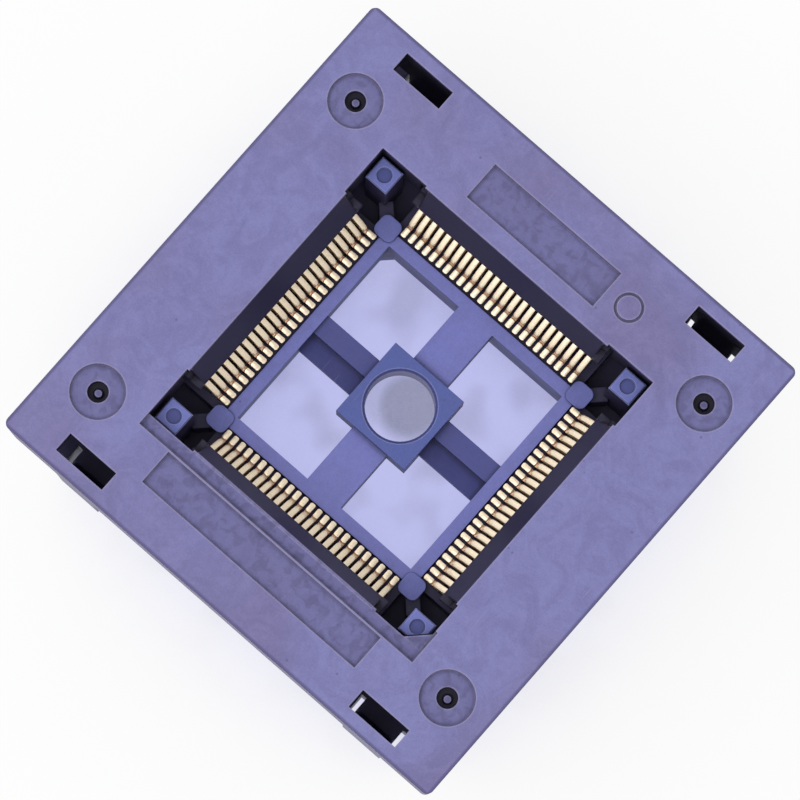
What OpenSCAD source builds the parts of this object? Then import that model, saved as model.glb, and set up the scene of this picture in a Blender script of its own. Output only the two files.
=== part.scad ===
// Open-top zero-insertion-force socket for a 100-lead quad flat package.
// A press-down cover slides on a moulded base and its four sloped walls wedge the upper contact
// arms outwards, so that the package drops in with no force. All sizes are in millimetres.
// +Z points up from the board, +X is the right row of contacts and +Y is the back row.
// The origin is the centre of the face that stands on the board.
// u is a distance outwards from the socket's centre, measured square to a row of contacts.

/* [Contacts] */
// Pitch of the contacts along a row
pitch = 0.5; // [0.48:0.01:0.5]
// Contacts in each of the four rows
row_count = 25; // [17:4:25]
// Thickness of the strip that the contacts are stamped from
strip = 0.25; // [0.2:0.01:0.25]
// Height of the lower contact tips, where the package leads rest
lead_z = 9.8; // [9.8:0.01:9.84]
// Distance of the innermost row of board tails from the centre
tail_u = 8.0; // [7.9:0.05:8]
// Step between the staggered rows of board tails
tail_step = 1.3; // [1.2:0.05:1.3]
// Reach of the board tails below the board seat
tail_reach = 3.3; // [2.5:0.1:4]

/* [Base] */
// Side of the square base
base_size = 29.4; // [29.2:0.1:29.4]
// Height of the base's outer wall
wall_z = 6.4; // [6:0.1:6.4]
// Height of the contact housings
housing_z = 8.6; // [8.2:0.1:8.6]
// Side of the square opening through the middle of the base
core_size = 13.6; // [13.4:0.1:13.6]
// Height of the four corner posts
post_z = 13.2; // [12.6:0.1:13.2]
// Side of a corner post
post_size = 1.45; // [1.3:0.01:1.48]

/* [Platform] */
// Height of the platform's centre boss
rest_z = 9.75; // [9.6:0.01:9.75]
// Diameter of the hole through the centre boss
boss_bore = 3.83; // [3.5:0.01:4]
// Side of the square centre boss
boss_size = 4.9; // [4.8:0.01:5.2]
// Width of the cross bars
bar_width = 2.4; // [2:0.1:2.6]
// Side of the square that the four windows fill
window_field = 12.45; // [12:0.05:12.5]

/* [Cover] */
// Side of the square cover
cover_size = 29.9; // [29.8:0.01:30]
// Height of the cover's top face when it is up
cover_z = 14.6; // [14.6:0.05:14.8]
// Height of the skirt's lower edge when the cover is up
skirt_z = 8.6; // [8.6:0.05:9]
// Opening along X, measured at its corners
opening_x = 19.05; // [19:0.01:19.1]
// Opening along Y, measured at its corners
opening_y = 18.85; // [18.8:0.01:18.9]
// Press travel of the cover
travel = 2; // [1.8:0.1:2]
// Distance of the hooks from the centre along X
hook_x = 10.3; // [10.2:0.05:10.4]
// Width of a hook
hook_width = 2.65; // [2.4:0.05:2.7]

/* [Springs] */
// Distance of the springs from the centre along X
spring_x = 12.3; // [12.2:0.01:12.35]
// Distance of the springs from the centre along Y
spring_y = 10.36; // [10.2:0.01:10.4]
// Radius of a spring, at the middle of its wire
coil_r = 1.3; // [1.2:0.05:1.3]
// Thickness of the spring wire
wire = 0.36; // [0.3:0.02:0.36]
// Turns of a spring, closed end turns counted
turns = 8.5; // [7.5:0.5:9.5]

/* [Hidden] */
SIDES = ["right", "back", "left", "front"];
CORNERS = [["back_left", -1, 1], ["back_right", 1, 1], ["front_left", -1, -1], ["front_right", 1, -1]];
$fn = 48;

COVER_COLOUR = [0.46, 0.44, 0.62];
BASE_COLOUR = [0.36, 0.38, 0.62];
CONTACT_COLOUR = [0.93, 0.78, 0.47];
WIRE_COLOUR = [0.66, 0.67, 0.7];

over = 1;                                  // how far a cutting shape runs past the face it cuts
row_half = (row_count - 1) * pitch / 2;    // from a row's middle to its last contact
comb_half = row_half + 0.65;               // half the length of a contact housing

// Contact: heights and outward distances of one stamping's section
foot_z0 = 1.2;
foot_z1 = 2.2;
stem_u0 = 7.75;
stem_u1 = 8.25;
tip_u = 7.04;                              // inner end of a lower tip, at the package body's edge
groove_z = lead_z - 0.2;                   // groove across a lower tip, under the arm's nose
pivot_u = 8.9;                             // the bend that an upper arm turns about
pivot_z = 6.6;
eye_r = 0.28;
eye_gap = 0.05;
bend_r = 1.3;                              // middle of the curved spring below the pivot
bend_w = 0.36;
bend_z = 4.65;
TAIL_ORDER = [0, 2, 1, 3];                 // which tail row each contact in turn comes down to

// Base
floor_z0 = 0.4;
floor_z1 = foot_z0;
foot_step = 0.35;                          // the base's wall steps in above the board
foot_step_z = 1.3;
housing_u0 = core_size / 2;
housing_u1 = 11.2;
slot_w = strip + 0.05;
slot_u0 = 7.6;
slot_u1 = 10.95;
pocket_half = 7.0;                         // the platform's seat in the base
pocket_z = 7.2;
core_land = 13.0;                          // x + y of the slanted face on a land
post_x = 8.62;
post_y = 8.53;
post_shift = 0.09;                         // offset of the front left post, inwards in x and outwards in y
post_cut = 17.72;                          // x + |y| of the slanted face on the marked corner's post
rib_z = 8.8;
well_r = 1.7;
well_z = 1.4;
notch_w = hook_width + 0.65;
notch_y = 12.97;
catch_z0 = 5.05;
catch_y = 14.02;
peg_at = 13.0;
peg_r = [0.75, 0.9];                       // the two pegs differ, so the socket fits one way round
peg_reach = 2.0;

// Platform
land_z = 9.35;                             // top of the rounded corners that overlap the base's ribs

// Cover
plate_t = 1.05;
plate_z = cover_z - plate_t;               // underside of the top plate
row_step = 0.13;                           // the opening is this much narrower beside the rows
corner_cut = 3.1;
edge_round = 0.3;
wall_in_x = 13.95;
wall_in_y = 14.12;
cam_u = 8.5;
cam_tip_r = 0.15;
cam_z = 11.9;
cam_half = 6.2;
cheek = 0.4;
ledge_drop = 0.28;
ledge_y = 10.17;
web_sum = 17.85;                           // x + |y| of the slanted web across the marked corner
boss_r = 2.0;
boss_z = 10.4;
window_y = 13.55;
window_l = 3.23;
window_w = 1.16;
barb_z = 5.0;
barb_y = 13.42;
hook_z = 3.6;
recess = 0.2;

// ---- shared shapes ----

module block(x0, x1, y0, y1, z0, z1) {
    translate([x0, y0, z0]) cube([x1 - x0, y1 - y0, z1 - z0]);
}

module round_rect(w, l, r) {
    square([w - 2 * r, l], center = true);
    square([w, l - 2 * r], center = true);
    for (sx = [-1, 1], sy = [-1, 1]) translate([sx * (w / 2 - r), sy * (l / 2 - r)]) circle(r);
}

module strip_of(thickness) { // stands a section drawn in u and z upright, centred along the row
    rotate([90, 0, 0]) linear_extrude(thickness, center = true) children();
}

module on_side(side) {
    rotate([0, 0, 90 * side]) children();
}

module along_row(first = 0, step = 1) {
    for (i = [first:step:row_count - 1]) translate([0, i * pitch - row_half, 0]) children();
}

module at_corners(x, y) {
    for (sx = [-1, 1], sy = [-1, 1]) translate([sx * x, sy * y, 0]) children();
}

// ---- contacts ----

// Curved spring: a half ring that bulges outwards from the foot up to the seat of the arm's eye
module spring_bend() {
    difference() {
        union() {
            translate([pivot_u, bend_z]) intersection() {
                difference() {
                    circle(bend_r + bend_w / 2);
                    circle(bend_r - bend_w / 2);
                }
                translate([0, -2 * bend_r]) square([2 * bend_r, 4 * bend_r]);
            }
            translate([pivot_u - 0.35, bend_z + bend_r - bend_w / 2]) square([0.7, 0.62]);
        }
        translate([pivot_u, pivot_z]) circle(eye_r + eye_gap);
    }
}

module lower_section(tail) { // tail: distance of the board tail's middle from the centre
    translate([stem_u0, foot_z0]) square([max(tail + 0.3, 9.2) - stem_u0, foot_z1 - foot_z0]);
    polygon([[stem_u0, foot_z1 - 0.1], [stem_u1, foot_z1 - 0.1], [stem_u1, 9.05], [8.15, lead_z - 0.04],
        [8.05, lead_z], [7.78, lead_z], [7.74, groove_z], [7.64, groove_z], [7.58, lead_z],
        [tip_u + 0.1, lead_z], [tip_u, lead_z - 0.1], [tip_u + 0.05, 9.42], [7.45, 9.3], [stem_u0, 8.8]]);
    translate([pivot_u - bend_w / 2, foot_z1 - 0.1]) square([bend_w, bend_z - bend_r - foot_z1 + 0.26]);
    polygon([[tail - 0.175, foot_z0 + 0.1], [tail + 0.175, foot_z0 + 0.1], [tail + 0.175, 0.4 - tail_reach],
        [tail + 0.06, -tail_reach], [tail - 0.06, -tail_reach], [tail - 0.175, 0.4 - tail_reach]]);
    spring_bend();
}

module lower_contacts(side, tail_row) {
    first = search(tail_row, TAIL_ORDER)[0];
    color(CONTACT_COLOUR) on_side(side) along_row(first, 4)
        strip_of(strip) lower_section(tail_u + tail_row * tail_step);
}

// Upper arm: an eye at the pivot, a tapering beam, and a head whose face slopes down to the nose
module upper_section() {
    translate([pivot_u, pivot_z]) circle(eye_r);
    polygon([[8.66, pivot_z + 0.12], [8.62, 8.6], [8.45, 9.3], [8.2, 9.74], [8.1, lead_z + 0.04],
        [7.8, lead_z + 0.04], [7.73, 9.9], [7.72, 9.97], [7.8, 10.25], [8.06, 10.82], [8.42, 11.38],
        [8.64, 11.66], [8.8, 11.74], [8.95, 11.7], [9.08, 11.5], [9.2, 10.9], [9.2, 9],
        [9.14, pivot_z + 0.12]]);
}

module upper_arms(side) {
    color(CONTACT_COLOUR) on_side(side) along_row() strip_of(strip) upper_section();
}

// ---- base ----

module corner_post(sx, sy) {
    half = post_size / 2;
    shift = sx < 0 && sy < 0 ? post_shift : 0;
    difference() {
        translate([sx * post_x + shift, sy * post_y - shift, 0]) {
            block(-half, half, -half, half, wall_z - 0.2, post_z - 0.08);
            translate([0, 0, post_z - 0.1]) linear_extrude(0.1) square(post_size - 0.12, center = true);
        }
        translate([sx * post_x + shift, sy * post_y - shift, post_z - 0.12]) cylinder(h = over, r = 0.43);
        if (sx > 0 && sy < 0) translate([post_cut / 2, -post_cut / 2, 0])
            rotate([0, 0, -45]) block(0, 3, -3, 3, wall_z, post_z + over);
    }
}

module corner_rib() { // runs from a post in to the platform's corner rest
    rotate([0, 0, 45]) block(10.35, 11.3, -0.4, 0.4, wall_z - 0.2, rib_z);
}

module hook_catch(sx, sy) {
    translate([sx * hook_x, 0, 0]) mirror([0, sy < 0 ? 1 : 0, 0])
        rotate([90, 0, 90]) linear_extrude(hook_width, center = true)
            polygon([[notch_y - 0.2, catch_z0], [catch_y, catch_z0], [catch_y, wall_z - 0.5],
                [catch_y - 0.3, wall_z], [notch_y - 0.2, wall_z]]);
}

module contact_slots() {
    half = comb_half - 0.45;
    for (side = [0:3]) on_side(side) {
        along_row() block(slot_u0, slot_u1, -slot_w / 2, slot_w / 2, foot_z1, housing_z + over);
        block(slot_u0, tail_u + 3 * tail_step + 0.4, -half, half, floor_z1, foot_z1 + 0.05);
        for (row = [0:3]) along_row(search(row, TAIL_ORDER)[0], 4)
            block(tail_u + row * tail_step - 0.23, tail_u + row * tail_step + 0.23,
                -slot_w / 2, slot_w / 2, 0, floor_z1 + 0.05);
    }
}

module board_pegs() {
    for (i = [0, 1]) translate([(2 * i - 1) * peg_at, (1 - 2 * i) * peg_at, 0]) {
        translate([0, 0, 0.25 - peg_reach]) cylinder(h = peg_reach, r = peg_r[i]);
        translate([0, 0, -peg_reach]) cylinder(h = 0.25, r1 = peg_r[i] - 0.25, r2 = peg_r[i]);
    }
}

module core_outline() { // the corners keep small lands that carry the platform
    intersection() {
        square(core_size, center = true);
        rotate(45) square(core_land * sqrt(2), center = true);
    }
}

module base() {
    core = core_size / 2;
    color(BASE_COLOUR) difference() {
        union() {
            translate([0, 0, floor_z0]) linear_extrude(foot_step_z - floor_z0)
                round_rect(base_size - 2 * foot_step, base_size - 2 * foot_step, 0.5);
            translate([0, 0, foot_step_z]) linear_extrude(wall_z - foot_step_z)
                round_rect(base_size, base_size, 0.5);
            for (side = [0:3]) on_side(side)
                block(housing_u0, housing_u1, -comb_half, comb_half, wall_z - 0.2, housing_z);
            for (sx = [-1, 1], sy = [-1, 1]) corner_post(sx, sy);
            for (side = [0:3]) on_side(side) corner_rib();
            block(-core - 0.8, core + 0.8, -core - 0.8, core + 0.8, 0, floor_z0 + 0.1);
            at_corners(peg_at + 0.1, peg_at + 0.1) block(-1.1, 1.1, -1.1, 1.1, 0, floor_z0 + 0.1);
            board_pegs();
        }
        translate([0, 0, -over]) linear_extrude(pocket_z + 2 * over) core_outline();
        block(-pocket_half, pocket_half, -pocket_half, pocket_half, pocket_z, rib_z + over);
        contact_slots();
        at_corners(spring_x, spring_y) translate([0, 0, well_z]) cylinder(h = wall_z, r = well_r);
        for (sx = [-1, 1], sy = [-1, 1]) difference() {
            translate([sx * hook_x, sy * (notch_y + 2), 0])
                block(-notch_w / 2, notch_w / 2, -2, 2, -over, wall_z + over);
            hook_catch(sx, sy);
        }
    }
}

// ---- platform ----

module platform() { // frame, two levels of cross bars and a square boss
    field = window_field / 2;
    edge = pocket_half - 0.05;
    bar = bar_width / 2;
    boss = boss_size / 2;
    color(BASE_COLOUR) difference() {
        union() {
            difference() {
                block(-edge, edge, -edge, edge, pocket_z, 9.2);
                block(-field, field, -field, field, pocket_z - over, 9.2 + over);
            }
            block(-bar, bar, -field - 0.1, field + 0.1, 7.4, 9.2);
            block(-field - 0.1, field + 0.1, 0, bar, 7.4, 8.9);
            block(-field - 0.1, field + 0.1, -bar, 0.1, 7.4, 8.1);
            block(-boss, boss, -boss, boss, pocket_z, rest_z);
            at_corners(6.9, 6.9) translate([0, 0, rib_z]) linear_extrude(land_z - rib_z)
                round_rect(1.3, 1.3, 0.4);
        }
        translate([0, 0, pocket_z - over]) cylinder(h = 4, r = boss_bore / 2);
        translate([0, 0, rest_z - 0.15]) cylinder(h = 0.3, r1 = boss_bore / 2, r2 = boss_bore / 2 + 0.3);
    }
}

// ---- cover ----

module opening_outline() {
    square([opening_x - 2 * row_step, opening_y - 2 * row_step], center = true);
    for (sx = [-1, 1], sy = [-1, 1])
        translate([sx * (opening_x - corner_cut) / 2, sy * (opening_y - corner_cut) / 2])
            square(corner_cut, center = true);
}

module cam_wall(side) { // sloped wall that wedges one row of upper arms outwards
    edge = (side % 2 == 0 ? opening_x : opening_y) / 2 - row_step;
    on_side(side) {
        strip_of(2 * cam_half) {
            polygon([[edge, cover_z - 0.25], [cam_u, cam_z + cam_tip_r],
                [cam_u + 2 * cam_tip_r, cam_z + cam_tip_r], [9.2, 13.2], [9.7, plate_z + 0.1],
                [9.7, cover_z - 0.4], [edge + 0.1, cover_z - 0.25]]);
            translate([cam_u + cam_tip_r, cam_z + cam_tip_r]) circle(cam_tip_r);
        }
        for (end = [-1, 1]) translate([0, end * (cam_half + cheek / 2), 0]) strip_of(cheek + 0.02)
            polygon([[cam_u, cam_z + 0.85], [cam_u, cam_z + 0.15], [cam_u + 0.15, cam_z], [9.3, cam_z + 0.6],
                [9.7, plate_z + 0.1], [edge - 0.1, plate_z + 0.1], [9.15, cam_z + 0.85]]);
    }
}

module hook(sx, sy) {
    outer = cover_size / 2;
    translate([sx * hook_x, 0, 0]) mirror([0, sy < 0 ? 1 : 0, 0])
        rotate([90, 0, 90]) linear_extrude(hook_width, center = true)
            polygon([[wall_in_y, plate_z], [outer, plate_z], [outer, hook_z + 0.3], [outer - 0.3, hook_z],
                [wall_in_y - 0.05, hook_z], [barb_y, barb_z - 0.4], [barb_y, barb_z], [wall_in_y, barb_z]]);
}

module cover_shell() { // the top and side faces meet in a small round
    size = cover_size;
    tall = cover_z - skirt_z;
    intersection() {
        translate([0, 0, skirt_z]) linear_extrude(tall) round_rect(size, size, 0.4);
        for (turn = [0, 90]) rotate([0, 0, turn]) rotate([90, 0, 0]) translate([0, 0, -size])
            linear_extrude(2 * size) {
                translate([0, skirt_z + tall / 2]) round_rect(size, tall, edge_round);
                translate([-size / 2, skirt_z - 0.01]) square([size, 1]);
            }
    }
}

module gate_disc() { // shallow disc with the moulding gate's hole and the stub left in it
    translate([0, 0, cover_z - recess]) cylinder(h = over, r = 1.5);
    difference() {
        translate([0, 0, cover_z - 0.75]) cylinder(h = over, r = 0.575);
        translate([0.05, -0.04, cover_z - 0.8]) cylinder(h = 0.42, r1 = 0.3, r2 = 0.2);
    }
}

module cover() {
    color(COVER_COLOUR) {
        difference() {
            union() {
                difference() {
                    cover_shell();
                    block(-wall_in_x, wall_in_x, -wall_in_y, wall_in_y, skirt_z - over, plate_z);
                }
                at_corners(spring_x, spring_y) translate([0, 0, boss_z])
                    cylinder(h = plate_z - boss_z + 0.1, r = boss_r);
                at_corners(spring_x, spring_y) translate([0, 0, 9]) cylinder(h = 2, r1 = 0.7, r2 = 0.8);
                for (sx = [-1, 1], sy = [-1, 1]) {
                    hook(sx, sy);
                    translate([sx * (opening_x / 2 - 0.95), sy * (opening_y / 2 - 0.9), 0])
                        block(-1.75, 1.75, -1.75, 1.75, 11, plate_z + 0.1);
                }
            }
            difference() {
                translate([0, 0, 10]) linear_extrude(10) opening_outline();
                translate([0, 0, plate_z - 0.3]) linear_extrude(plate_t)
                    polygon([[opening_x, -opening_y], [opening_x, opening_x - web_sum],
                        [web_sum - opening_y, -opening_y]]);
            }
            block(-opening_x / 2, opening_x / 2 + 0.14, -ledge_y, -opening_y / 2 + 1.3,
                cover_z - ledge_drop, cover_z + over);
            for (sx = [-1, 1], sy = [-1, 1]) translate([sx * hook_x, sy * window_y, 0])
                block(-window_l / 2, window_l / 2, -window_w / 2, window_w / 2,
                    plate_z - over, cover_z + over);
            translate([0.1, -11.34, 0]) block(-7.46, 7.46, -1.05, 1.05, cover_z - recess, cover_z + over);
            translate([0, 11.55, 0]) block(-4.44, 4.44, -1.16, 1.16, cover_z - recess, cover_z + over);
            translate([5.95, 11.6, cover_z - 0.12]) difference() {
                cylinder(h = over, r = 0.81);
                cylinder(h = over, r = 0.67);
            }
            at_corners(spring_x, spring_y) gate_disc();
        }
        for (side = [0:3]) cam_wall(side);
    }
}

// ---- coil springs ----

// Height of the wire's middle after t turns: close-wound end turns and an even rise between them
function coil_z(t) = let(low = well_z + wire / 2, high = boss_z - wire / 2, span = high - low - 2 * wire)
    t < 1 ? low + wire * t
        : t > turns - 1 ? high - wire * (turns - t)
        : low + wire + span * (t - 1) / (turns - 2);

module coil_spring() {
    rings = round(turns * 14);
    sides = 6;
    points = [for (i = [0:rings]) let(t = turns * i / rings) for (j = [0:sides - 1])
        let(r = coil_r + wire / 2 * cos(360 * j / sides))
        [r * cos(360 * t), r * sin(360 * t), coil_z(t) + wire / 2 * sin(360 * j / sides)]];
    walls = [for (i = [0:rings - 1], j = [0:sides - 1]) let(k = (j + 1) % sides)
        [i * sides + j, i * sides + k, (i + 1) * sides + k, (i + 1) * sides + j]];
    ends = [[for (j = [sides - 1:-1:0]) j], [for (j = [0:sides - 1]) rings * sides + j]];
    color(WIRE_COLOUR) polyhedron(points, concat(walls, ends));
}

// ---- nodes ----

base();
platform();
cover();
for (c = CORNERS)
    translate([c[1] * spring_x, c[2] * spring_y, 0]) coil_spring();
for (side = [0:3])
    upper_arms(side);
for (side = [0:3], row = [0:3])
    lower_contacts(side, row);
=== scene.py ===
"""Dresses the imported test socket: moulded plastics, stamped contacts, coil springs and a studio.

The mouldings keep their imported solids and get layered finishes. The rows of contacts and the four
springs are surfaces worked out here with numpy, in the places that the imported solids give.
Lengths in the dataclasses are in millimetres, and the meshes are in metres.
"""

import logging
import math
from dataclasses import dataclass
from enum import Enum

import bpy
import numpy as np
from mathutils import Matrix, Vector


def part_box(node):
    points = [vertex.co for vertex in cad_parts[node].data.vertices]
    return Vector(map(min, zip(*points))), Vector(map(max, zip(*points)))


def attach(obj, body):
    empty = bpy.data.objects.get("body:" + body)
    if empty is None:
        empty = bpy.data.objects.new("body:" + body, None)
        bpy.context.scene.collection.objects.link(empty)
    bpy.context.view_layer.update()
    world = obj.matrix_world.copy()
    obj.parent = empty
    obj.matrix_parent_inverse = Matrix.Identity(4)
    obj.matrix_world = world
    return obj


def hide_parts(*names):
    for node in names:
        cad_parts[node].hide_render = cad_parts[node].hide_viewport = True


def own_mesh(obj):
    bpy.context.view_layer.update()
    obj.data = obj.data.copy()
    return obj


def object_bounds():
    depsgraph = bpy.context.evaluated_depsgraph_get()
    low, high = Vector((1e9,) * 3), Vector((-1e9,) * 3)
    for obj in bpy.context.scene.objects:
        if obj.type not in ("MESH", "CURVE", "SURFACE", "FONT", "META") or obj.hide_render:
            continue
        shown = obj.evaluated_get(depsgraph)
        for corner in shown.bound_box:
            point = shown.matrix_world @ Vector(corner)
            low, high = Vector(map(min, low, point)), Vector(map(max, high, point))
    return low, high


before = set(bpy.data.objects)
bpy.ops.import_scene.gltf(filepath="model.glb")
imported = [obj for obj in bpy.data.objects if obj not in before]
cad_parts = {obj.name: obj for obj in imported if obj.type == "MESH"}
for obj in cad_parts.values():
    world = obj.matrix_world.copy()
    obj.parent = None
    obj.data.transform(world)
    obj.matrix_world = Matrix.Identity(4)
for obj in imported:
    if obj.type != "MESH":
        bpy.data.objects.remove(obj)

MM = 0.001
CAD_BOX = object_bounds()
LOG = logging.getLogger("socket")
Colour = tuple[float, float, float, float]
Point = tuple[float, float, float]
Socket = bpy.types.NodeSocket
Sockets = dict[str, Socket]


def paint(red: int, green: int, blue: int) -> Colour:
    """Turns a colour in display values, 0 to 255, into the linear one that a shader takes.

    Args:
        red, green, blue: the colour as a screen would show it.

    Returns:
        The linear colour, with an alpha of 1.
    """
    shares = [value / 255 for value in (red, green, blue)]
    linear = [s / 12.92 if s <= 0.04045 else ((s + 0.055) / 1.055) ** 2.4 for s in shares]
    return (*linear, 1.0)


WHITE = paint(255, 255, 255)
FLOW_MARK = paint(98, 94, 140)


# ---- surfaces ----


class Side(Enum):
    """A row of contacts, by its quarter turns from the right-hand row."""

    RIGHT = 0
    BACK = 1
    LEFT = 2
    FRONT = 3

    @property
    def word(self) -> str:
        """The row's name in the frame."""
        return self.name.lower()

    def place(self, points: np.ndarray) -> np.ndarray:
        """Turns points drawn for the right-hand row round to this one."""
        cos, sin = ((1, 0), (0, 1), (-1, 0), (0, -1))[self.value]
        return points @ np.array([[cos, sin, 0], [-sin, cos, 0], [0, 0, 1]], float)


@dataclass
class Surface:
    """Points in millimetres and the faces between them."""

    points: np.ndarray
    faces: list[list[int]]

    def repeated(self, offsets: np.ndarray) -> "Surface":
        """Copies the surface to each offset, as one surface.

        Args:
            offsets: one row of x, y and z for each copy.

        Returns:
            All copies together; copy k's faces count their points from k times the point count.
        """
        count = len(self.points)
        points = (offsets[:, None, :] + self.points[None, :, :]).reshape(-1, 3)
        faces = [[i + k * count for i in face] for k in range(len(offsets)) for face in self.faces]
        return Surface(points, faces)

    def mesh(self, name: str, material: bpy.types.Material, sharp: float = 40) -> bpy.types.Object:
        """Makes the object, at the origin and in metres.

        Args:
            name: the object's name.
            material: its finish.
            sharp: the angle in degrees from which an edge stays sharp.

        Returns:
            The new object, in the scene's collection.
        """
        mesh = bpy.data.meshes.new(name)
        mesh.from_pydata((self.points * MM).tolist(), [], self.faces)
        mesh.polygons.foreach_set("use_smooth", np.ones(len(mesh.polygons), bool))
        mesh.set_sharp_from_angle(angle=math.radians(sharp))
        mesh.materials.append(material)
        made = bpy.data.objects.new(name, mesh)
        bpy.context.scene.collection.objects.link(made)
        return made


def arc(centre: tuple[float, float], radius: float, start: float, end: float, count: int) -> np.ndarray:
    """Points on a circle: centre + radius * (cos, sin), at even steps from start to end in degrees."""
    angle = np.radians(np.linspace(start, end, count))
    return np.stack([centre[0] + radius * np.cos(angle), centre[1] + radius * np.sin(angle)], 1)


def inset(outline: np.ndarray, depth: float) -> np.ndarray:
    """Moves a closed outline inwards by depth.

    Each point goes against the sum of its two sides' outward unit normals, divided by one plus
    their dot product, which keeps both sides parallel to where they were.

    Args:
        outline: the points in order, anticlockwise.
        depth: how far each side moves.

    Returns:
        The moved points.
    """
    along = np.roll(outline, -1, 0) - outline
    along /= np.linalg.norm(along, axis=1, keepdims=True)
    normal = np.stack([along[:, 1], -along[:, 0]], 1)
    before = np.roll(normal, 1, 0)
    share = 1 + np.maximum((normal * before).sum(1, keepdims=True), -0.4)
    return outline - depth * (normal + before) / share


def stamped(outline: np.ndarray, thickness: float, edge: float) -> Surface:
    """Carries an outline in u and z across a strip, with its two rims broken by a small edge.

    The four layers lie at -t/2, -t/2 + e, t/2 - e and t/2 along y, and the outer two are inset by e.

    Args:
        outline: closed outline, one row of u and z for each point.
        thickness: t, the strip's thickness.
        edge: e, the width of the broken rim.

    Returns:
        The closed surface: three bands of quads and the two flat faces.
    """
    after = np.roll(outline, -1, 0)
    if (outline[:, 0] * after[:, 1] - after[:, 0] * outline[:, 1]).sum() < 0:
        outline = outline[::-1]
    count = len(outline)
    small = inset(outline, edge)
    half = thickness / 2
    layers = [(small, -half), (outline, edge - half), (outline, half - edge), (small, half)]
    points = np.concatenate([np.insert(flat, 1, y, axis=1) for flat, y in layers])
    here = np.arange(count)
    band = np.stack([here, np.roll(here, -1), np.roll(here, -1) + count, here + count], 1)
    faces = np.concatenate([band + k * count for k in range(3)]).tolist()
    return Surface(points, faces + [here[::-1].tolist(), (here + 3 * count).tolist()])


def tube(path: np.ndarray, centre: np.ndarray, radius: float, sides: int) -> Surface:
    """Carries a circle along a coil: each ring spans the coil's outward and upward directions.

    Args:
        path: the wire's middle, one row of x, y and z for each ring.
        centre: x and y of the coil's axis.
        radius: the wire's radius.
        sides: points in each ring.

    Returns:
        The closed surface, with a flat face at each end.
    """
    out = path[:, :2] - centre
    out /= np.linalg.norm(out, axis=1, keepdims=True)
    angle = np.linspace(0, 2 * np.pi, sides, endpoint=False)
    ring = radius * (np.cos(angle)[None, :, None] * np.insert(out, 2, 0, axis=1)[:, None, :]
                     + np.sin(angle)[None, :, None] * np.array([0, 0, 1.0]))
    points = (path[:, None, :] + ring).reshape(-1, 3)
    rings = len(path)
    here = np.arange((rings - 1) * sides).reshape(-1, sides)
    beside = np.roll(here, -1, 1)
    quads = np.stack([here, here + sides, beside + sides, beside], 2).reshape(-1, 4).tolist()
    ends = [list(range(sides)), list(range(rings * sides - 1, (rings - 1) * sides - 1, -1))]
    return Surface(points, quads + ends)


# ---- finishes ----


class Graph:
    """A node tree, with short calls that add nodes and join them."""

    def __init__(self, tree: bpy.types.NodeTree) -> None:
        """Keeps the tree that the nodes go to.

        Args:
            tree: a material's, a world's or a group's tree.
        """
        self.tree = tree

    @classmethod
    def of(cls, owner: bpy.types.Material | bpy.types.World) -> "Graph":
        """Empties a material's or a world's own tree and returns its graph."""
        owner.use_nodes = True
        owner.node_tree.nodes.clear()
        return cls(owner.node_tree)

    def node(self, kind: str, inputs: dict | None = None, **settings: object) -> bpy.types.Node:
        """Adds a node.

        Args:
            kind: the node's type, without its ShaderNode prefix.
            inputs: for each input, by name or number, a value or the socket that feeds it.
            settings: the node's own attributes.

        Returns:
            The node.
        """
        made = self.tree.nodes.new(f"ShaderNode{kind}")
        for name, value in settings.items():
            setattr(made, name, value)
        for key, value in (inputs or {}).items():
            if isinstance(value, Socket):
                self.tree.links.new(value, made.inputs[key])
            else:
                made.inputs[key].default_value = value
        return made

    def group(self, tree: bpy.types.NodeTree, inputs: dict | None = None) -> Sockets:
        """Places a node group, with values for its inputs, and returns its outputs by name."""
        return dict(self.node("Group", inputs, node_tree=tree).outputs.items())

    def math(self, operation: str, *values: object) -> Socket:
        """Adds a Math node for one to three values or sockets and returns its result."""
        return self.node("Math", dict(enumerate(values)), operation=operation).outputs[0]

    def times(self, first: object, *factors: object) -> Socket:
        """Multiplies values or sockets together and returns the product."""
        product = first
        for factor in factors:
            product = self.math("MULTIPLY", product, factor)
        return product

    def mix(self, share: object, first: object, second: object, blend: str = "MIX") -> Socket:
        """Mixes two colours and returns the result.

        Args:
            share: how much of the second there is, from 0 to 1.
            first, second: colours, or sockets that give them.
            blend: how the second goes over the first.

        Returns:
            The mixed colour's socket.
        """
        made = self.node("Mix", {0: share, 6: first, 7: second}, data_type="RGBA", blend_type=blend)
        return made.outputs[2]

    def rise(self, value: object, low: float, high: float) -> Socket:
        """A mask that climbs smoothly from 0 where value is low to 1 where it is high."""
        span = {"Value": value, "From Min": low, "From Max": high}
        return self.node("MapRange", span, interpolation_type="SMOOTHSTEP").outputs[0]

    def noise(self, place: Socket, size: float, detail: float = 2, twist: float = 0) -> Socket:
        """Noise with features of about size millimetres.

        Args:
            place: the coordinates that it reads, in metres.
            size: the width of its features in millimetres.
            detail: octaves of finer noise.
            twist: how far the pattern is distorted.

        Returns:
            The value's socket, from 0 to 1.
        """
        values = {"Vector": place, "Scale": 1 / (size * MM), "Detail": detail, "Distortion": twist}
        return self.node("TexNoise", values).outputs[0]

    def stretched(self, place: Socket, along: Point, turn: float = 0) -> Socket:
        """Coordinates turned about Z by turn degrees and then scaled, for streaks."""
        values = {"Vector": place, "Rotation": (0, 0, math.radians(turn)), "Scale": along}
        return self.node("Mapping", values, vector_type="POINT").outputs[0]


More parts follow.
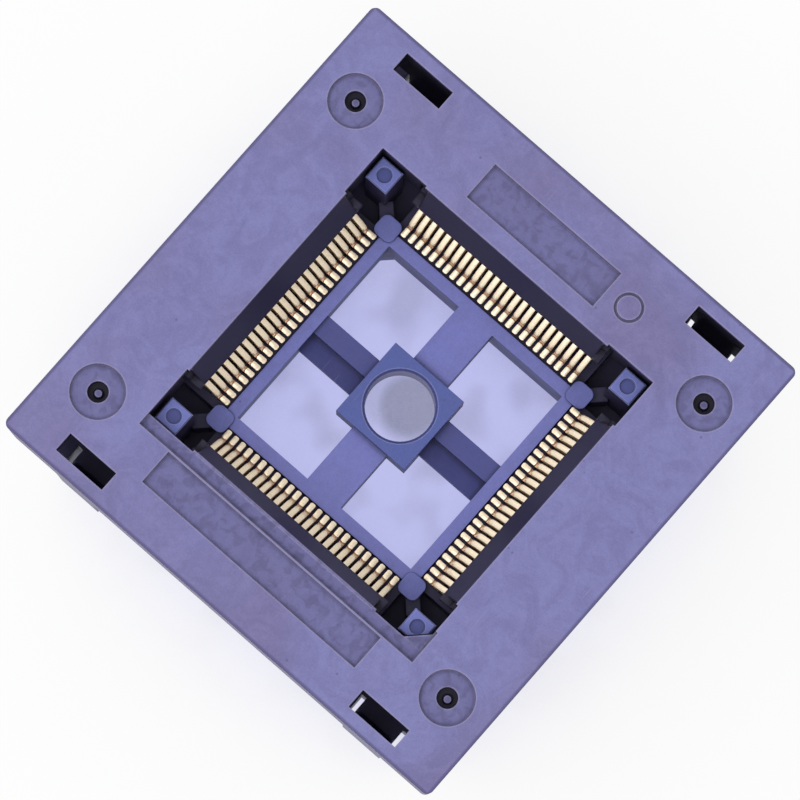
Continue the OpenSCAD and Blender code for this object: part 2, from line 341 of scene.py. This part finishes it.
class Effects:
    """The node groups that several finishes use."""

    def __init__(self) -> None:
        """Builds each group once."""
        self.skin = self._skin()
        self.facing = self._facing()
        self.edges = self._edges()
        self.drawn = self._drawn()

    @staticmethod
    def _group(name: str, takes: dict[str, float], gives: dict[str, str]) -> tuple[Graph, Sockets]:
        """Starts a group.

        Args:
            name: the group's name.
            takes: its number inputs and their defaults.
            gives: its outputs and their socket types, without the NodeSocket prefix.

        Returns:
            The group's graph and its inputs by name.
        """
        tree = bpy.data.node_groups.new(name, "ShaderNodeTree")
        for word, default in takes.items():
            socket = tree.interface.new_socket(word, in_out="INPUT", socket_type="NodeSocketFloat")
            socket.default_value = default
        for word, kind in gives.items():
            tree.interface.new_socket(word, in_out="OUTPUT", socket_type=f"NodeSocket{kind}")
        return Graph(tree), dict(tree.nodes.new("NodeGroupInput").outputs.items())

    @staticmethod
    def _finish(graph: Graph, sockets: Sockets) -> bpy.types.NodeTree:
        """Joins the group's results to its output node and returns its tree."""
        out = graph.tree.nodes.new("NodeGroupOutput")
        for word, socket in sockets.items():
            graph.tree.links.new(socket, out.inputs[word])
        return graph.tree

    def _skin(self) -> bpy.types.NodeTree:
        """Moulded skin: eroded grain, flow marks, a broad cloud, coarse texture, pits and scratches."""
        gives = dict.fromkeys(("Grain", "Flow", "Cloud", "Texture", "Pits", "Scratches"), "Float")
        graph, takes = self._group("moulded_skin", {"Flow size": 2.2, "Cloud size": 9.0}, gives)
        place = graph.node("TexCoord").outputs["Object"]
        fine = graph.noise(place, size=0.09, detail=3)
        coarse = graph.noise(place, size=0.3)
        flow = graph.node("TexNoise", {
            "Vector": place, "Scale": graph.math("DIVIDE", 1 / MM, takes["Flow size"]),
            "Detail": 5, "Roughness": 0.62, "Distortion": 1.6})
        cloud = graph.node("TexNoise", {
            "Vector": place, "Scale": graph.math("DIVIDE", 1 / MM, takes["Cloud size"]), "Detail": 2})
        cells = graph.node("TexVoronoi", {"Vector": place, "Scale": 1 / (0.8 * MM)})
        sparse = graph.rise(graph.noise(place, size=1.3, detail=1), 0.56, 0.66)
        one_way = self._scratches(graph, place, turn=28, patch=2.575)
        other_way = self._scratches(graph, place, turn=-57, patch=3.1)
        return self._finish(graph, {
            "Grain": graph.math("ADD", graph.times(fine, 0.65), graph.times(coarse, 0.35)),
            "Flow": flow.outputs[0],
            "Cloud": cloud.outputs[0],
            "Texture": graph.noise(place, size=0.55, detail=4, twist=0.6),
            "Pits": graph.times(graph.rise(cells.outputs["Distance"], 0.13, 0.05), sparse),
            "Scratches": graph.math("MAXIMUM", one_way, other_way)})

    @staticmethod
    def _scratches(graph: Graph, place: Socket, turn: float, patch: float) -> Socket:
        """Fine scratches that run one way: noise drawn out along a line, kept to some patches.

        Args:
            graph: the group's graph.
            place: the coordinates.
            turn: the way that they run, in degrees about Z.
            patch: the width of the patches in millimetres.

        Returns:
            Their mask.
        """
        streaks = graph.noise(graph.stretched(place, (1, 0.03, 1), turn), size=0.1, detail=1)
        where = graph.noise(place, size=patch, detail=1)
        return graph.times(graph.rise(streaks, 0.7, 0.78), graph.rise(where, 0.55, 0.7))

    def _facing(self) -> bpy.types.NodeTree:
        """How a face lies, level and looking up or on a slope, and how far out and up it is in metres."""
        gives = dict.fromkeys(("Level", "Slope", "Height", "Reach"), "Float")
        graph, _ = self._group("facing", {}, gives)
        normal = graph.node("NewGeometry").outputs["True Normal"]
        up = graph.node("SeparateXYZ", {0: normal}).outputs["Z"]
        place = graph.node("SeparateXYZ", {0: graph.node("TexCoord").outputs["Object"]}).outputs
        across, along = (graph.math("ABSOLUTE", place[axis]) for axis in "XY")
        return self._finish(graph, {
            "Level": graph.rise(up, 0.6, 0.97),
            "Slope": graph.times(graph.rise(up, 0.12, 0.3), graph.rise(up, 0.92, 0.6)),
            "Height": place["Z"],
            "Reach": graph.math("MAXIMUM", across, along)})

    def _edges(self) -> bpy.types.NodeTree:
        """Edges softened by a small radius, and a mask of where they are."""
        graph, takes = self._group("soft_edges", {"Radius": 0.08}, {"Normal": "Vector", "Edge": "Float"})
        radius = graph.times(takes["Radius"], MM)
        round_normal = graph.node("Bevel", {"Radius": radius}, samples=6).outputs[0]
        flat_normal = graph.node("NewGeometry").outputs["True Normal"]
        turned = graph.node("VectorMath", {0: round_normal, 1: flat_normal}, operation="DOT_PRODUCT")
        edge = graph.rise(turned.outputs["Value"], 0.998, 0.95)
        return self._finish(graph, {"Normal": round_normal, "Edge": edge})

    def _drawn(self) -> bpy.types.NodeTree:
        """Metal drawn or sheared along Z: long streaks, a blotchy tarnish and small dents."""
        gives = dict.fromkeys(("Streaks", "Tarnish", "Dents"), "Float")
        graph, takes = self._group("drawn_metal", {"Streak": 0.05}, gives)
        place = graph.node("TexCoord").outputs["Object"]
        streaks = graph.node("TexNoise", {
            "Vector": graph.stretched(place, (1, 1, 0.12)),
            "Scale": graph.math("DIVIDE", 1 / MM, takes["Streak"]), "Detail": 3})
        return self._finish(graph, {
            "Streaks": streaks.outputs[0],
            "Tarnish": graph.noise(place, size=0.9, detail=3),
            "Dents": graph.noise(place, size=0.16)})


@dataclass(frozen=True)
class Marks:
    """The masks, each from 0 to 1, by which a plastic mixes its colours.

    Near is within deep_half of the centre lines, and inside also between the heights of deep_z.
    """

    skin: Sockets
    facing: Sockets
    edges: Sockets
    cloudy: Socket
    flow: Socket
    lowered: Socket
    near: Socket
    inside: Socket


@dataclass(frozen=True)
class Plastic:
    """A moulded plastic: paler where it lies level and was textured, darker on its steep faces.

    Level faces take the low colour, a painted shade, below low_z, over that span of heights, and the land
    colour above land_z, and take a painted shade towards rim, the outer edge's distance from the centre
    lines. Within deep_half of those lines and between the heights of deep_z, all faces take the pocket's
    colour: a painted shade in the cover's and the base's pockets, a painted light on the platform's bore.
    The strength of the painted edge highlight and the shares say how strongly each mark shows, from 0 to 1.
    """

    name: str
    top: Colour
    cloud: Colour
    # A painted shade for the lower level faces.
    low: Colour
    # The pocket's colour: a painted shade, and on the platform a painted light on the bore's wall.
    pocket_shading: Colour
    # Painted shade for the faces that don't look up, steep then sloped; the top colour is the lit one.
    steep: Colour
    slope: Colour
    # The colour of the scratches, and of the painted highlight on the edges.
    edge: Colour
    low_z: tuple[float, float]
    deep_z: tuple[float, float]
    deep_half: float = 14.5
    deep_fade: float = 0.25
    land: Colour | None = None
    land_z: float = 0.0
    land_fade: float = 0.4
    # Where a painted shade darkens the level faces, towards the outer edge.
    rim: float | None = None
    rim_band: tuple[float, float] = (0.24, 0.08)
    rim_share: float = 0.8
    cloud_share: float = 0.75
    flow_share: float = 0.3
    wall_share: float = 0.2
    pit_share: float = 0.55
    scratch_share: float = 0.3
    etching: float = 0.0
    # The next two: the strength of the painted highlight on the edges, near the middle and further out.
    edge_highlight: float = 0.65
    outer_edge_highlight: float = 0.1
    # The next two: the strength and reach of a painted shade in the corners.
    corner_shade: float = 0.5
    corner_shade_reach: float = 0.45
    edge_radius: float = 0.09
    grain_depth: float = 0.02
    roughness: float = 0.62
    steep_roughness: float = 0.4
    gloss: float = 0.3

    def material(self, effects: Effects) -> bpy.types.Material:
        """Builds the finish.

        Args:
            effects: the shared node groups.

        Returns:
            The material, in which height, facing, flow marks and grain mix the colours.
        """
        made = bpy.data.materials.new(self.name)
        graph = Graph.of(made)
        marks = self._marks(graph, effects)
        shader = graph.node("BsdfPrincipled", {
            "Base Color": self._colour(graph, marks), "Roughness": self._rough(graph, marks),
            "Normal": self._relief(graph, marks), "Specular IOR Level": self.gloss})
        graph.node("OutputMaterial", {"Surface": shader.outputs[0]})
        return made

    def _marks(self, graph: Graph, effects: Effects) -> Marks:
        """Places the groups and works out the masks.

        Args:
            graph: the material's graph.
            effects: the shared node groups.

        Returns:
            The groups' outputs and the masks.
        """
        skin, facing = graph.group(effects.skin), graph.group(effects.facing)
        half, fade = self.deep_half * MM, self.deep_fade * MM
        (low, high), (deep_low, deep_high) = np.array([self.low_z, self.deep_z]) * MM
        near = graph.rise(facing["Reach"], half + fade, half)
        below = graph.rise(facing["Height"], deep_high + fade, deep_high)
        above = graph.rise(facing["Height"], deep_low - fade, deep_low)
        return Marks(
            skin=skin, facing=facing,
            edges=graph.group(effects.edges, {"Radius": self.edge_radius}),
            cloudy=graph.times(graph.rise(skin["Cloud"], 0.42, 0.68), self.cloud_share),
            flow=graph.rise(skin["Flow"], 0.36, 0.66),
            lowered=graph.rise(facing["Height"], high, low),
            near=near, inside=graph.times(below, above, near))

    def _level(self, graph: Graph, marks: Marks) -> Socket:
        """The colour of the faces that look up, with painted shade on the lower faces, towards the rim and
        in the pocket.
        """
        colour = graph.mix(marks.cloudy, self.top, self.cloud)
        # Painted shade on the lower level faces.
        colour = graph.mix(marks.lowered, colour, self.low)
        if self.land:
            raised = graph.rise(
                marks.facing["Height"], (self.land_z - self.land_fade) * MM, self.land_z * MM)
            colour = graph.mix(raised, colour, self.land)
        colour = graph.mix(graph.times(marks.flow, self.flow_share), colour, FLOW_MARK)
        # Pits take the steep faces' colour, a painted shade.
        colour = graph.mix(graph.times(marks.skin["Pits"], self.pit_share), colour, self.steep)
        colour = graph.mix(graph.times(marks.skin["Scratches"], self.scratch_share), colour, self.edge)
        # Painted shade in a band towards the outer edge.
        if self.rim:
            start, full = ((self.rim - width) * MM for width in self.rim_band)
            rim_shade = graph.rise(marks.facing["Reach"], start, full)
            colour = graph.mix(graph.times(rim_shade, self.rim_share), colour, self.steep)
        # The pocket takes its colour: painted shade, or painted light on the platform's bore.
        return graph.mix(marks.inside, colour, self.pocket_shading)

    def _walls(self, graph: Graph, marks: Marks) -> Socket:
        """The colour of the steep and sloped faces: a painted shade, with the pocket's colour within the
        pocket.
        """
        cloudy = graph.times(graph.math("ADD", marks.flow, marks.cloudy), self.wall_share)
        colour = graph.mix(cloudy, self.steep, self.cloud)
        # Painted shade in the pocket, and a darker painted shade on the sloped faces.
        colour = graph.mix(marks.inside, colour, self.pocket_shading)
        return graph.mix(marks.facing["Slope"], colour, self.slope)

    def _shade(self, graph: Graph, marks: Marks) -> Socket:
        """How far the grain, a painted shade in the corners and the etching darken the colour."""
        speckle = graph.math("MULTIPLY_ADD", marks.skin["Grain"], 0.5, 0.75)
        # Painted shade: darker in the corners, where the ambient occlusion is low.
        hollow = graph.node(
            "AmbientOcclusion", {"Distance": self.corner_shade_reach * MM}, samples=8, only_local=True)
        corners = graph.rise(hollow.outputs["AO"], 0.92, 0.5)
        rough_spots = graph.rise(marks.skin["Texture"], 0.42, 0.66)
        etched = graph.times(rough_spots, marks.lowered, marks.facing["Level"])
        return graph.times(
            speckle, graph.math("MULTIPLY_ADD", corners, -self.corner_shade, 1.0),
            graph.math("MULTIPLY_ADD", etched, -self.etching, 1.0))

    def _colour(self, graph: Graph, marks: Marks) -> Socket:
        """The whole colour: by facing, with the painted shade on the steep faces, then paler on the edges
        as a painted highlight, then shaded.
        """
        colour = graph.mix(marks.facing["Level"], self._walls(graph, marks), self._level(graph, marks))
        # Painted highlight on the edges, strongest near the middle and left out of the pocket.
        reach = graph.math("MAXIMUM", marks.near, self.outer_edge_highlight)
        edge_highlight_mask = graph.times(marks.edges["Edge"], graph.math("SUBTRACT", self.edge_highlight, marks.inside), reach)
        colour = graph.mix(graph.math("MAXIMUM", edge_highlight_mask, 0.0), colour, self.edge)
        return graph.mix(1.0, colour, self._shade(graph, marks), "MULTIPLY")

    def _rough(self, graph: Graph, marks: Marks) -> Socket:
        """Roughness: smoother on the steep faces, and uneven with the flow."""
        rough = graph.node("MapRange", {
            "Value": marks.facing["Level"], "To Min": self.steep_roughness, "To Max": self.roughness})
        return graph.math("ADD", rough.outputs[0], graph.times(marks.skin["Flow"], 0.08))

    def _relief(self, graph: Graph, marks: Marks) -> Socket:
        """The normal: softened edges with the grain on them, and pits and scratches sunk in."""
        relief = graph.math("ADD", marks.skin["Grain"], graph.times(marks.skin["Pits"], -0.8))
        relief = graph.math("SUBTRACT", relief, graph.times(marks.skin["Scratches"], 0.5))
        return graph.node("Bump", {
            "Height": relief, "Normal": marks.edges["Normal"], "Strength": 0.5,
            "Distance": self.grain_depth * MM}).outputs[0]


@dataclass(frozen=True)
class Metal:
    """A bare or plated metal with drawing streaks, tarnish in patches and small dents.

    A painted shade, in the tarnish colour, darkens it from the upper to the lower height of shade_z, and
    for up to two millimetres below.
    Lift turns the shading of sloped faces upwards, as if they were crowned.
    """

    name: str
    bright: Colour
    dull: Colour
    tarnish: Colour
    roughness: float
    metallic: float = 1.0
    lift: float = 0.0
    shade_z: tuple[float, float] | None = None
    shade_share: float = 0.8
    tarnish_share: float = 0.3
    edge_radius: float = 0.03
    dent_depth: float = 0.006

    def material(self, effects: Effects) -> bpy.types.Material:
        """Builds the finish.

        Args:
            effects: the shared node groups.

        Returns:
            The material, in which streaks and tarnish mix the colours.
        """
        made = bpy.data.materials.new(self.name)
        graph = Graph.of(made)
        drawn, facing = graph.group(effects.drawn), graph.group(effects.facing)
        rough = graph.node("MapRange", {
            "Value": drawn["Streaks"], "To Min": self.roughness - 0.08, "To Max": self.roughness + 0.1})
        shader = graph.node("BsdfPrincipled", {
            "Base Color": self._colour(graph, drawn, facing), "Roughness": rough.outputs[0],
            "Metallic": self.metallic,
            "Normal": self._relief(graph, drawn, facing, graph.group(effects.edges, {
                "Radius": self.edge_radius}))})
        graph.node("OutputMaterial", {"Surface": shader.outputs[0]})
        return made

    def _colour(self, graph: Graph, drawn: Sockets, facing: Sockets) -> Socket:
        """The colour: streaks of the dull tone, then tarnish in patches, and a painted shade in the tarnish
        colour over shade_z.
        """
        colour = graph.mix(graph.rise(drawn["Streaks"], 0.4, 0.7), self.bright, self.dull)
        patches = graph.times(graph.rise(drawn["Tarnish"], 0.58, 0.78), self.tarnish_share)
        colour = graph.mix(patches, colour, self.tarnish)
        # Painted shade in the tarnish colour over a band of heights, between and under the contacts' heads.
        if self.shade_z:
            low, high = (z * MM for z in self.shade_z)
            shaded_band = graph.times(graph.rise(facing["Height"], high, low),
                                 graph.rise(facing["Height"], low - 2 * MM, low - MM))
            colour = graph.mix(graph.times(shaded_band, self.shade_share), colour, self.tarnish)
        return colour

    def _relief(self, graph: Graph, drawn: Sockets, facing: Sockets, edges: Sockets) -> Socket:
        """The normal: softened edges, lifted on the slopes, with streaks and dents on them."""
        relief = graph.math("ADD", drawn["Streaks"], graph.times(drawn["Dents"], 0.6))
        upwards = graph.node("CombineXYZ", {2: graph.times(facing["Slope"], self.lift)}).outputs[0]
        crowned = graph.node("VectorMath", {0: edges["Normal"], 1: upwards}, operation="ADD").outputs[0]
        normal = graph.node("VectorMath", {0: crowned}, operation="NORMALIZE").outputs[0]
        return graph.node("Bump", {
            "Height": relief, "Normal": normal, "Strength": 0.35,
            "Distance": self.dent_depth * MM}).outputs[0]


# In these plastics the colours for walls, slopes, the pocket and the lower faces are painted shade, the
# platform's pocket colour is painted light on its bore, and the edge colour is also a painted highlight.
COVER_PLASTIC = Plastic(
    name="cover_plastic", top=paint(130, 129, 182), cloud=paint(123, 116, 160), low=paint(108, 106, 154),
    pocket_shading=paint(46, 43, 64), steep=paint(86, 81, 124), slope=paint(46, 43, 68), edge=paint(168, 162, 202),
    low_z=(14.35, 14.5), deep_z=(-10.0, 14.05), rim=14.95, etching=0.28, edge_radius=0.16)
BASE_PLASTIC = Plastic(
    name="base_plastic", top=paint(116, 124, 196), cloud=paint(108, 116, 186), low=paint(78, 86, 150),
    pocket_shading=paint(56, 53, 84), steep=paint(84, 86, 140), slope=paint(60, 60, 92), edge=paint(160, 166, 226),
    low_z=(13.12, 13.18), deep_z=(1.5, 12.7), flow_share=0.1, grain_depth=0.012, roughness=0.5)
PLATFORM_PLASTIC = Plastic(
    name="platform_plastic", top=paint(120, 124, 194), cloud=paint(110, 116, 186), low=paint(56, 60, 122),
    pocket_shading=paint(158, 157, 190), steep=paint(74, 78, 132), slope=paint(66, 70, 120),
    edge=paint(160, 166, 226), land=paint(84, 97, 164), land_z=9.6, low_z=(8.75, 9.2),
    deep_z=(3.0, 9.4), deep_half=2.05, flow_share=0.16, grain_depth=0.012, roughness=0.5)
GOLD = Metal(
    name="contact_gold", bright=paint(238, 223, 199), dull=paint(226, 206, 177),
    tarnish=paint(182, 136, 108), roughness=0.38, metallic=0.62, lift=1.3, shade_z=(9.6, 9.76))
SPRING_STEEL = Metal(
    name="spring_steel", bright=paint(205, 206, 212), dull=paint(168, 170, 178),
    tarnish=paint(120, 116, 114), roughness=0.3)


# ---- sub-assemblies ----


@dataclass
class ContactRows:
    """The four rows of stampings: a hinged upper arm and a lower tip on a sprung foot for each lead.

    Outlines are drawn in u, the distance from the socket's middle, and z, the height above the
    board. The contacts stand a pitch apart along the row, and tail_order says to which of the four
    board rows each one's tail comes down, repeated along the row.
    """

    gold: bpy.types.Material
    pitch: float = 0.5
    count: int = 25
    strip: float = 0.25
    edge: float = 0.055
    comb_z: float = 8.7
    swell: float = 1.26
    swell_rise: float = 0.6
    lead_z: float = 9.8
    tip_u: float = 7.04
    stem_u: tuple[float, float] = (7.75, 8.25)
    foot_z: tuple[float, float] = (1.2, 2.2)
    pivot: tuple[float, float] = (8.9, 6.6)
    eye_r: float = 0.28
    seat_r: float = 0.33
    bend: tuple[float, float] = (8.9, 4.65)
    bend_r: float = 1.3
    bend_w: float = 0.36
    seat_half: float = 0.35
    seat_h: float = 0.62
    tail_u: float = 8.0
    tail_step: float = 1.3
    tail_w: float = 0.35
    tail_reach: float = 3.3
    tail_taper: float = 0.4
    tail_point: float = 0.12
    tail_order: tuple[int, ...] = (0, 2, 1, 3)
    foot_end: float = 0.3

    def build(self) -> list[bpy.types.Object]:
        """Makes the arms of each side and the lower contacts of each side and board row."""
        made = []
        rows = len(self.tail_order)
        for side in Side:
            arms = self._row(self._arm(), side, range(self.count))
            made.append(self._piece(
                arms, f"arms_{side.word}_row", f"arms_{side.word}", f"upper_arms_{side.word}"))
            for tail_row in range(rows):
                picked = range(self.tail_order.index(tail_row), self.count, rows)
                lower = self._row(self._lower(tail_row), side, picked)
                made.append(self._piece(
                    lower, f"contacts_{side.word}_row_{tail_row + 1}", "socket_base",
                    f"lower_contacts_{side.word}_{tail_row + 1}"))
        return made

    def _piece(self, row: Surface, name: str, body: str, node: str) -> bpy.types.Object:
        """Makes a row's piece.

        Args:
            row: the stampings.
            name: the piece's name.
            body: the body that it rides on.
            node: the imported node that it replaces.

        Returns:
            The gold-plated piece.
        """
        made = row.mesh(name, self.gold)
        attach(made, body)
        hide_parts(node)
        return made

    def _row(self, outline: np.ndarray, side: Side, picked: range) -> Surface:
        """Stamps the outline at each picked place of a row and turns the row to its side.

        Above the comb the strip is swaged wider: y is scaled by 1 + (swell - 1) * s, where s climbs
        from 0 at comb_z to 1 at comb_z + swell_rise.

        Args:
            outline: one stamping's outline in u and z.
            side: the row.
            picked: the places that get one, counted along the row from 0.

        Returns:
            The stampings together.
        """
        along = np.array(picked) * self.pitch - (self.count - 1) * self.pitch / 2
        offsets = np.stack([0 * along, along, 0 * along], 1)
        stamping = stamped(outline, self.strip, self.edge)
        above = np.clip((stamping.points[:, 2] - self.comb_z) / self.swell_rise, 0, 1)
        stamping.points[:, 1] *= 1 + (self.swell - 1) * above
        row = stamping.repeated(offsets)
        row.points = side.place(row.points)
        return row

    def _arm(self) -> np.ndarray:
        """The upper arm's outline: round eye, tapering beam and hooked head with its nose inwards."""
        z = self.lead_z
        inner = [(8.62, 8.6), (8.45, 9.3), (8.2, 9.74), (8.1, z + 0.04), (7.8, z + 0.04), (7.73, 9.9),
                 (7.72, 9.97), (7.8, 10.25), (8.06, 10.82), (8.42, 11.38), (8.64, 11.66)]
        outer = [(8.8, 11.74), (8.95, 11.7), (9.08, 11.5), (9.2, 10.9), (9.2, 9.0)]
        return np.concatenate([arc(self.pivot, self.eye_r, 30, -210, 9), inner, outer])

    def _lower(self, tail_row: int) -> np.ndarray:
        """The lower stamping's outline.

        Args:
            tail_row: which of the four board rows its tail comes down to, from the inside.

        Returns:
            Foot, tail, half-ring spring with the arm's seat on top, stem and tip, anticlockwise.
        """
        tail = self.tail_u + tail_row * self.tail_step
        half, point, low, high = self.tail_w / 2, self.tail_point / 2, *self.foot_z
        taper_z, end_z = self.tail_taper - self.tail_reach, -self.tail_reach
        (stem_in, stem_out), z = self.stem_u, self.lead_z
        (bend_u, bend_z), half_w = self.bend, self.bend_w / 2
        right = max(tail, bend_u) + self.foot_end
        foot = [(stem_in, low), (tail - half, low), (tail - half, taper_z), (tail - point, end_z),
                (tail + point, end_z), (tail + half, taper_z), (tail + half, low), (right, low),
                (right, high), (bend_u + half_w, high)]
        seat_z = bend_z + self.bend_r - half_w + self.seat_h
        dip = math.degrees(math.asin((self.pivot[1] - seat_z) / self.seat_r))
        seat = [[(bend_u + self.seat_half, seat_z)], arc(self.pivot, self.seat_r, -dip, dip - 180, 5),
                [(bend_u - self.seat_half, seat_z), (bend_u - self.seat_half, seat_z - self.seat_h)]]
        post = [(bend_u - half_w, bend_z - self.bend_r + half_w), (bend_u - half_w, high), (stem_out, high)]
        tip = [(stem_out, 9.05), (8.15, z - 0.04), (8.05, z), (7.78, z), (7.74, z - 0.2), (7.64, z - 0.2),
               (7.58, z), (self.tip_u + 0.1, z), (self.tip_u, z - 0.1), (self.tip_u + 0.05, 9.42),
               (7.45, 9.3), (stem_in, 8.8)]
        return np.concatenate([foot, arc(self.bend, self.bend_r + half_w, -83, 76, 8), *seat,
                               arc(self.bend, self.bend_r - half_w, 90, -90, 8), post, tip])


@dataclass
class CoilSprings:
    """The four springs under the cover's corners, wound as one smooth wire with closed ends."""

    steel: bpy.types.Material
    coil_r: float = 1.3
    wire: float = 0.36
    turns: float = 8.5
    steps: int = 30
    sides: int = 10
    names: tuple[str, ...] = ("back_left", "back_right", "front_left", "front_right")

    def build(self) -> list[bpy.types.Object]:
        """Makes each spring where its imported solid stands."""
        made = []
        for name in self.names:
            low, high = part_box(f"spring_{name}")
            spring = self._coil(low / MM, high / MM).mesh(f"spring_{name}_wire", self.steel)
            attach(spring, "socket_base")
            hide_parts(f"spring_{name}")
            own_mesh(spring)
            made.append(spring)
        return made

    def _coil(self, low: Vector, high: Vector) -> Surface:
        """Winds a spring into its box.

        The wire's middle turns at a steady rate. It climbs by one wire a turn over the first and the
        last turn and evenly between them.

        Args:
            low, high: the box's lowest and highest corners in millimetres.

        Returns:
            The wire's surface.
        """
        turn = np.linspace(0, self.turns, int(self.turns * self.steps) + 1)
        bottom, top = low.z + self.wire / 2, high.z - self.wire / 2
        height = np.interp(turn, [0, 1, self.turns - 1, self.turns],
                           [bottom, bottom + self.wire, top - self.wire, top])
        centre = np.array([(low.x + high.x) / 2, (low.y + high.y) / 2])
        angle = 2 * np.pi * turn
        path = np.stack([centre[0] + self.coil_r * np.cos(angle),
                         centre[1] + self.coil_r * np.sin(angle), height], 1)
        return tube(path, centre, self.wire / 2, self.sides)


@dataclass
class Mouldings:
    """The three moulded parts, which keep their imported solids."""

    plastics: dict[str, bpy.types.Material]

    def dress(self) -> list[bpy.types.Object]:
        """Gives each moulding its plastic."""
        dressed = []
        for node, plastic in self.plastics.items():
            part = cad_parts[node]
            part.data.materials.clear()
            part.data.materials.append(plastic)
            dressed.append(part)
        return dressed


# ---- studio ----


@dataclass(frozen=True)
class Studio:
    """A white floor and world, one broad soft lamp overhead, a weaker one aside, and the camera.

    Under the object the floor turns from white to shade, and to nook close to its walls, in some
    blotches and below the middle boss.
    """

    floor_half: float = 400.0
    key_size: float = 260.0
    key_place: Point = (-20.0, -120.0, 325.0)
    key_power: float = 0.44
    fill_size: float = 200.0
    fill_place: Point = (-200.0, 60.0, 220.0)
    fill_power: float = 0.1
    world: float = 0.6
    eye: Point = (12.99, -19.41, 257.38)
    target: Point = (-0.10, 0.07, 12.0)
    roll: float = 41.327
    lens: float = 207.0
    shade: Colour = paint(192, 194, 248)
    nook: Colour = paint(138, 140, 180)
    open_reach: float = 18.0
    wall_reach: float = 4.0
    blotch: float = 3.6
    blotch_share: float = 0.45
    boss_shade: Point = (-0.25, 1.4, -3.3)
    boss_shade_r: tuple[float, float] = (1.3, 2.5)
    glow: float = 0.85

    def build(self) -> None:
        """Sets the world, floor, lamps and camera."""
        self._world()
        self._floor()
        self._lamp("key_light", self.key_place, self.key_size, self.key_power)
        self._lamp("fill_light", self.fill_place, self.fill_size, self.fill_power)
        self._camera()
        bpy.context.scene.view_settings.view_transform = "Standard"

    @staticmethod
    def _seen(graph: Graph) -> Socket:
        """1 for rays from the camera, and for those by gloss or through glass, and otherwise 0."""
        path = graph.node("LightPath").outputs
        either = graph.math("MAXIMUM", path["Is Glossy Ray"], path["Is Transmission Ray"])
        return graph.math("MAXIMUM", path["Is Camera Ray"], either)

    def _world(self) -> None:
        """A white world that is seen at full strength and lights the object more softly."""
        world = bpy.data.worlds.new("studio_world")
        graph = Graph.of(world)
        strength = graph.node("MapRange", {
            "Value": self._seen(graph), "To Min": self.world, "To Max": 1.0})
        light = graph.node("Background", {"Color": WHITE, "Strength": strength.outputs[0]})
        graph.node("OutputWorld", {"Surface": light.outputs[0]})
        bpy.context.scene.world = world

    def _floor(self) -> None:
        """A white floor that keeps the object's soft shadow, tinted where little light comes in."""
        half, low = self.floor_half, CAD_BOX[0][2] / MM
        corners = np.array([[-half, -half, low], [half, -half, low], [half, half, low], [-half, half, low]])
        paper = bpy.data.materials.new("floor_paper")
        graph = Graph.of(paper)
        tint = self._tint(graph)
        lit = graph.node("BsdfDiffuse", {"Color": tint})
        glow = graph.node("Emission", {"Color": tint, "Strength": 1.0})
        share = graph.times(self._seen(graph), self.glow)
        both = graph.node("MixShader", {0: share, 1: lit.outputs[0], 2: glow.outputs[0]})
        graph.node("OutputMaterial", {"Surface": both.outputs[0]})
        Surface(corners, [[0, 1, 2, 3]]).mesh("floor", paper)

    def _tint(self, graph: Graph) -> Socket:
        """The floor's colour: white in the open, shade below the object and nook in its dim places."""
        open_sky = graph.node("AmbientOcclusion", {"Distance": self.open_reach * MM}, samples=16)
        near_walls = graph.node("AmbientOcclusion", {"Distance": self.wall_reach * MM}, samples=12)
        by_walls = graph.rise(near_walls.outputs["AO"], 0.95, 0.4)
        place = graph.node("TexCoord").outputs["Object"]
        middle = Vector(self.boss_shade) * MM
        away = graph.node("VectorMath", {0: place, 1: middle}, operation="DISTANCE").outputs["Value"]
        full, gone = (radius * MM for radius in self.boss_shade_r)
        blotches = graph.rise(graph.noise(place, self.blotch, detail=1), 0.42, 0.64)
        dim = graph.math("MAXIMUM", graph.times(blotches, self.blotch_share), by_walls)
        dim = graph.math("MAXIMUM", graph.rise(away, gone, full), dim)
        tint = graph.mix(dim, self.shade, self.nook)
        return graph.mix(graph.rise(open_sky.outputs["AO"], 0.05, 0.7), tint, WHITE)

    def _lamp(self, name: str, place: Point, size: float, power: float) -> None:
        """Adds a square soft lamp that looks at the object.

        Args:
            name: the lamp's name.
            place: where it hangs, in millimetres.
            size: its side in millimetres.
            power: its power in watts.
        """
        lamp = bpy.data.lights.new(name, "AREA")
        lamp.size = size * MM
        lamp.energy = power
        made = bpy.data.objects.new(name, lamp)
        made.location = Vector(place) * MM
        ahead = Vector(self.target) * MM - made.location
        made.rotation_euler = ahead.to_track_quat("-Z", "Y").to_euler()
        bpy.context.scene.collection.objects.link(made)

    def _camera(self) -> None:
        """Places the camera: it looks from eye to target, with +Y up, then rolls."""
        camera = bpy.data.cameras.new("camera")
        camera.lens = self.lens
        camera.clip_start = 0.01
        camera.clip_end = 10
        made = bpy.data.objects.new("camera", camera)
        back = (Vector(self.eye) - Vector(self.target)).normalized()
        right = Vector((0, 1, 0)).cross(back).normalized()
        axes = Matrix((right, back.cross(right), back)).transposed().to_4x4()
        place = Matrix.Translation(Vector(self.eye) * MM)
        made.matrix_world = place @ axes @ Matrix.Rotation(math.radians(self.roll), 4, "Z")
        bpy.context.scene.collection.objects.link(made)
        bpy.context.scene.camera = made


def main() -> None:
    """Builds the socket's sub-assemblies in order, then the studio."""
    logging.basicConfig(level=logging.INFO, format="%(name)s: %(message)s")
    effects = Effects()
    plastics = {"cover": COVER_PLASTIC, "base": BASE_PLASTIC, "platform": PLATFORM_PLASTIC}
    assemblies = {
        "mouldings": Mouldings({
            node: plastic.material(effects) for node, plastic in plastics.items()}).dress,
        "contacts": ContactRows(GOLD.material(effects)).build,
        "springs": CoilSprings(SPRING_STEEL.material(effects)).build,
    }
    for name, make in assemblies.items():
        for piece in make():
            LOG.info("%s: %s, %d faces", name, piece.name, len(piece.data.polygons))
    Studio().build()


if __name__ == "__main__":
    main()
